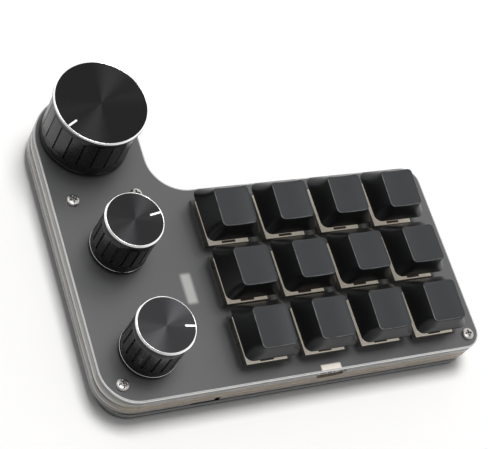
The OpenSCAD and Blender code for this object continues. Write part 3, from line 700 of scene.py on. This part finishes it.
def knob_skirt(name, material, lip_highlight_metal):
    """The grooved skirt. Its panels between the grooves are slightly flattened."""
    centre, radius, top = knob_size(name)
    count = GROOVES[name]
    half_panel = math.pi / count
    first = math.radians(GROOVE_TURN[name]) + half_panel
    wall = radius - SKIRT_IN[name]
    lip = wall + LIP_OUT
    neck = wall - NECK_IN
    neck_z = top - CAP_HEIGHT
    groove_low = KNOB_GAP + GROOVE_FOOT
    groove_high = top - GROOVE_HEAD

    def skirt_ring(base, height, grooved, flattened):
        ring = []
        for i in range(count * PANEL_POINTS):
            share = (i % PANEL_POINTS) / PANEL_POINTS
            angle = first + 2 * math.pi * i / (count * PANEL_POINTS)
            from_groove = min(share, 1 - share) * 2 * math.pi * base / count
            chord = math.cos(half_panel) / math.cos((share - 0.5) * 2 * half_panel)
            r = base * (1 + (chord - 1) * flattened * PANEL_FLATNESS)
            if grooved and from_groove < GROOVE_HALF:
                r -= GROOVE_DEPTH
            ring.append(centre + Vector((r * math.cos(angle), r * math.sin(angle), height)) * MM)
        return ring

    profile = [
        (HOLLOW_RADIUS, KNOB_GAP + HOLLOW_HEIGHT, False, 0), (HOLLOW_RADIUS, KNOB_GAP, False, 0),
        (lip - 0.25, KNOB_GAP, False, 0), (lip, KNOB_GAP + 0.22, False, 0),
        (lip, KNOB_GAP + LIP_HEIGHT, False, 0), (wall, KNOB_GAP + LIP_HEIGHT + 0.2, False, 0),
        (wall, groove_low - 0.25, False, 0.4),
        (wall, groove_low, False, 1), (wall, groove_low + 0.02, True, 1),
        (wall, groove_high - 0.02, True, 1), (wall, groove_high, False, 1),
        (wall - 0.05, groove_high + 0.25, False, 0.5), (wall - 0.3, neck_z - 0.75, False, 0),
        (neck, neck_z - 0.45, False, 0), (neck, neck_z, False, 0),
    ]
    bm = bmesh.new()
    loft(bm, [skirt_ring(*row) for row in profile])
    piece = finish_mesh(name + "_knob_skirt", bm, material, sharp_angle=24)
    stands_for(piece, name + "_knob_body")
    # Painted highlight: a bright metal strip stands for the light along the black lip of the small
    # knobs.
    if name != "big":  # light draws a line along the lip of the small knobs
        lip_line = [(lip - 0.02, KNOB_GAP + LIP_HEIGHT - 0.04),
                    (lip - 0.01, KNOB_GAP + LIP_HEIGHT + 0.04),
                    (lip - 0.08, KNOB_GAP + LIP_HEIGHT + 0.12)]
        line = turned(name + "_knob_lip", lip_line, centre, lip_highlight_metal, closed_start=False,
                      closed_end=False)
        ride_with(line, name + "_knob_body")


def knob_top(name, rim_black, chamfer_metal, pointer_metal):
    """The spun face, its bright chamfer and its pointer line."""
    centre, radius, top = knob_size(name)
    node = name + "_knob_cap"
    chamfer_foot = top - CHAMFER[name]
    inner = radius - CHAMFER[name]
    face_z = top - FACE_SINK
    edge = [(radius - 0.4, top - CAP_HEIGHT), (radius - 0.06, top - CAP_HEIGHT + 0.22),
            (radius, top - CAP_HEIGHT + 0.34), (radius, chamfer_foot - 0.04)]
    rim = turned(name + "_knob_rim", edge, centre, rim_black, closed_end=False)
    stands_for(rim, node)

    slope = [(radius, chamfer_foot - 0.04), (radius - 0.04, chamfer_foot + 0.03),
             (inner + 0.05, face_z), (inner - 0.04, top - 0.004), (inner - 0.1, face_z)]
    chamfer = turned(name + "_knob_chamfer", slope, centre, chamfer_metal, closed_start=False,
                     closed_end=False)
    ride_with(chamfer, node)

    face = [(inner - 0.1, face_z)]
    face += [((inner - 0.1) * share, face_z - FACE_HOLLOW * (1 - share)) for share in FACE_RINGS]
    spun = spun_face(name + "_spun_face", centre, FACE_PAINTED_LIGHTNESS[name])
    disc = turned(name + "_knob_face", face, centre, spun, closed_start=False)
    ride_with(disc, node)

    angle, start, end = POINTERS[name]
    half = POINTER_WIDTH / 2
    round_end = [math.radians(a) for a in range(-90, 91, 15)]
    outline = [(start + half * (1 - math.cos(a)), half * math.sin(a)) for a in round_end]
    outline += [(end, half), (end, -half)]
    turn = math.radians(angle)
    rings = []
    for inset, lift in ((0.0, -0.04), (0.0, 0.0), (0.06, 0.03)):
        ring = []
        for along, across in outline:
            across *= 1 - inset / half
            z = face_z - FACE_HOLLOW * (1 - along / inner) + lift
            ring.append(centre + Vector((along * math.cos(turn) - across * math.sin(turn),
                                         along * math.sin(turn) + across * math.cos(turn), z)) * MM)
        rings.append(ring)
    bm = bmesh.new()
    loft(bm, rings)
    pointer = finish_mesh(name + "_knob_pointer", bm, pointer_metal)
    ride_with(pointer, node)


# ---- Screws ----

# Millimetres, and shares of the head's radius for its rings.
HEAD_RADIUS = 1.9
HEAD_HEIGHT = 1.15
HEAD_EDGE = 0.42  # the share of the height under the dome
HEAD_RINGS = (0.97, 0.9, 0.8, 0.7, 0.62, 0.54, 0.46, 0.38, 0.3, 0.22, 0.14, 0.07)
HEAD_STEPS = 72
CROSS_HALF = 0.3
CROSS_REACH = 1.2
CROSS_DEPTH = 0.75
SHANK_RADIUS = 0.95
SHANK_LENGTH = 3.8


def cross_depth(x, y):
    """How deep the cross recess lies at a place on a screw's head, with sloping walls and ends."""
    deepest = 0.0
    for along, across in ((abs(x), abs(y)), (abs(y), abs(x))):
        wall = min(1.0, max(0.0, (CROSS_HALF - across) / 0.12))
        end = min(1.0, max(0.0, (CROSS_REACH - along) / 0.25))
        deepest = max(deepest, CROSS_DEPTH * wall * end)
    return deepest


def head_ring(base, share, height, recess=None):
    """A level ring of a screw's head, at a share of its radius, lowered where the recess is."""
    ring = []
    for k in range(HEAD_STEPS):
        angle = 2 * math.pi * k / HEAD_STEPS
        x = share * HEAD_RADIUS * math.cos(angle)
        y = share * HEAD_RADIUS * math.sin(angle)
        drop = recess(x, y) if recess else 0.0
        ring.append(base + Vector((x, y, height - drop)) * MM)
    return ring


def pan_screws(node, material):
    """The screws' domed heads with their cross recesses, at the places of the CAD screws."""
    bm = bmesh.new()
    for centre in solid_centres(node):
        base = Vector((centre.x, centre.y, PLATE_TOP))
        rings = [head_ring(base, 0.62, 0.0), head_ring(base, 1.0, 0.0),
                 head_ring(base, 1.0, HEAD_HEIGHT * HEAD_EDGE)]
        for share in HEAD_RINGS:
            dome = HEAD_EDGE + (1 - HEAD_EDGE) * math.sqrt(1 - share ** 3.2)
            rings.append(head_ring(base, share, HEAD_HEIGHT * dome, cross_depth))
        loft(bm, rings)
        lathe(bm, [(SHANK_RADIUS, -SHANK_LENGTH), (SHANK_RADIUS, -0.02)], base, 24)
    piece = finish_mesh(node + "_finish", bm, material, sharp_angle=40)
    stands_for(piece, node)


def solid_centres(node):
    """The middle of each separate solid of a node, seen from above."""
    bm = node_bmesh(node)
    left = set(bm.verts)
    centres = []
    while left:
        island, todo = set(), [left.pop()]
        while todo:
            vert = todo.pop()
            island.add(vert)
            for edge in vert.link_edges:
                other = edge.other_vert(vert)
                if other in left:
                    left.remove(other)
                    todo.append(other)
        xs = [v.co.x for v in island]
        ys = [v.co.y for v in island]
        centres.append(Vector(((min(xs) + max(xs)) / 2, (min(ys) + max(ys)) / 2, 0)))
    bm.free()
    return sorted(centres, key=lambda v: (v.x, v.y))


# ---- Floor and light ----

FLOOR_HALF = 3.0  # metres
FLOOR_DROP = 0.0001  # metres under the feet
WORLD_HEIGHTS = (0.1, 0.9)  # share of the way up where the studio starts and ends to fade
WORLD_LEVELS = (1.15, 0.75)  # its brightness there
WORLD_LEAN = 0.6  # how much brighter it is on one side
WORLD_AZIMUTH = 42  # the bright side, in degrees
WORLD_SHADING = 0.42  # the share of its light that matte surfaces get


def add_floor():
    bm = bmesh.new()
    for x, y in ((-1, -1), (1, -1), (1, 1), (-1, 1)):
        bm.verts.new((x * FLOOR_HALF, y * FLOOR_HALF, -FLOOR_DROP))
    bm.faces.new(bm.verts)
    floor = finish_mesh("pale_floor", bm, floor_material())


def add_light(name, azimuth, elevation, distance, size, power, gloss=True, shading=True):
    """A soft rectangular lamp that faces the object, from behind it at azimuth 0 and right at 90.

    Without gloss it isn't mirrored by shiny surfaces, and without shading it doesn't light matte ones.
    """
    data = bpy.data.lights.new(name, "AREA")
    data.shape = "RECTANGLE"
    data.size, data.size_y = size
    data.energy = power
    lamp = bpy.data.objects.new(name, data)
    a, e = math.radians(azimuth), math.radians(elevation)
    place = Vector((math.sin(a) * math.cos(e), math.cos(a) * math.cos(e), math.sin(e))) * distance
    lamp.location = place
    lamp.rotation_euler = (-place).to_track_quat("-Z", "Y").to_euler()
    lamp.visible_glossy = gloss
    lamp.visible_diffuse = shading
    bpy.context.scene.collection.objects.link(lamp)


def add_world():
    """A soft even studio, a little darker overhead and brighter behind the object."""
    world = bpy.data.worlds.new("studio")
    world.use_nodes = True
    tree = world.node_tree
    direction = add_node(tree, "ShaderNodeTexCoord").outputs["Generated"]
    height = add_node(tree, "ShaderNodeSeparateXYZ", {"Vector": direction}).outputs["Z"]
    fade = add_node(tree, "ShaderNodeMapRange", {
        "Value": height, "From Min": WORLD_HEIGHTS[0], "From Max": WORLD_HEIGHTS[1],
        "To Min": WORLD_LEVELS[0], "To Max": WORLD_LEVELS[1]}).outputs[0]
    azimuth = math.radians(WORLD_AZIMUTH)
    bright_side = (WORLD_LEAN * math.sin(azimuth), WORLD_LEAN * math.cos(azimuth), 0)
    lean = add_node(tree, "ShaderNodeVectorMath", {0: direction, 1: bright_side},
                    operation="DOT_PRODUCT").outputs["Value"]
    level = add_node(tree, "ShaderNodeMath", {0: lean, 1: fade, 2: fade},
                     operation="MULTIPLY_ADD").outputs[0]
    diffuse = add_node(tree, "ShaderNodeLightPath").outputs["Is Diffuse Ray"]
    share = add_node(tree, "ShaderNodeMapRange", {"Value": diffuse, "To Min": 1.0,
                                                  "To Max": WORLD_SHADING}).outputs[0]
    strength = add_node(tree, "ShaderNodeMath", {0: level, 1: share}, operation="MULTIPLY")
    background = tree.nodes["Background"]
    background.inputs["Color"].default_value = (1.0, 0.998, 0.993, 1.0)
    tree.links.new(strength.outputs[0], background.inputs["Strength"])
    bpy.context.scene.world = world


def set_view():
    """Plain display colours, so that white plastic and floor come out as pale as in the photograph."""
    view = bpy.context.scene.view_settings
    view.view_transform = "Standard"
    view.look = "None"


# ---- The scene ----

add_camera()
add_floor()
add_world()
# The first two lamps draw the highlights, and the third lights the floor and casts the shadow.
add_light("top_light", 0, 90, 1.1, (0.42, 0.42), 5.0, shading=False)
add_light("edge_light", -46, 58, 1.2, (0.4, 0.4), 2.0, shading=False)
add_light("shadow_light", 10, 79, 1.1, (0.36, 0.36), 9.5, gloss=False)
set_view()

caps_plastic = keycap_plastic()
ivory = milky_plastic()
smoky = smoky_plastic()
steel = bright_metal("bright_steel", (0.78, 0.77, 0.74), 0.22)
pointer_metal = bright_metal("pointer_silver", (0.86, 0.86, 0.85), 0.4)
chamfer_metal = bright_metal("chamfer_metal", (0.93, 0.93, 0.93), 0.14)
lip_highlight_metal = bright_metal("lip_highlight_metal", (0.72, 0.72, 0.73), 0.24)
black_anodised = anodised()
ring_acrylic = layered_acrylic()

for row, key in KEYS:
    keycap(row, key, caps_plastic)
for name in KNOBS:
    knob_skirt(name, black_anodised, lip_highlight_metal)
    knob_top(name, black_anodised, chamfer_metal, pointer_metal)

dressed("top_plate", 0.2, smoked_acrylic(), border=(0.22, plate_edge_highlight()))
dressed("upper_frame", 0.1, ring_acrylic)
dressed("lower_frame", 0.12, ring_acrylic)
dressed("bottom_plate", 0.2, base_acrylic())
dressed("rubber_feet", 0.25, rubber())
dressed("switch_covers", 0.12, ivory, shape=flared_feet)
dressed("switch_bases", 0.1, smoky)
dressed("usb_shell", 0.08, steel)
pan_screws("case_screws", bright_metal("screw_nickel", (0.45, 0.44, 0.42), 0.3))

node_materials = {
    "bottom_screws": steel,
    "usb_tongue": plain_plastic("usb_tongue_plastic", (0.02, 0.02, 0.02), 0.4),
    "spacers": bright_metal("brass", (0.72, 0.54, 0.27), 0.3),
    "circuit_board": board_mask(),
    "controller_chip": plain_plastic("chip_plastic", (0.015, 0.015, 0.015), 0.45),
    "board_connector": plain_plastic("connector_nylon", (0.8, 0.8, 0.78), 0.5),
    "hot_swap_sockets": plain_plastic("socket_plastic", (0.02, 0.02, 0.02), 0.5),
    "switch_springs": bright_metal("spring_steel", (0.55, 0.55, 0.55), 0.3),
    "switch_pins": bright_metal("contact_gold", (0.85, 0.65, 0.3), 0.25),
    "encoder_housings": bright_metal("encoder_steel", (0.6, 0.6, 0.58), 0.35),
}
for same in ("encoder_bushes", "encoder_washers", "encoder_nuts"):
    node_materials[same] = node_materials["encoder_housings"]
stem = stem_plastic()
for row, key in KEYS:
    node_materials["key_stem_" + key] = stem
for name in KNOBS:
    node_materials[name + "_knob_shaft"] = node_materials["encoder_housings"]
    node_materials[name + "_knob_plunger"] = node_materials["switch_pins"]
for node, material in node_materials.items():
    mesh = frame["nodes"][node].data
    mesh.materials.clear()
    mesh.materials.append(material)
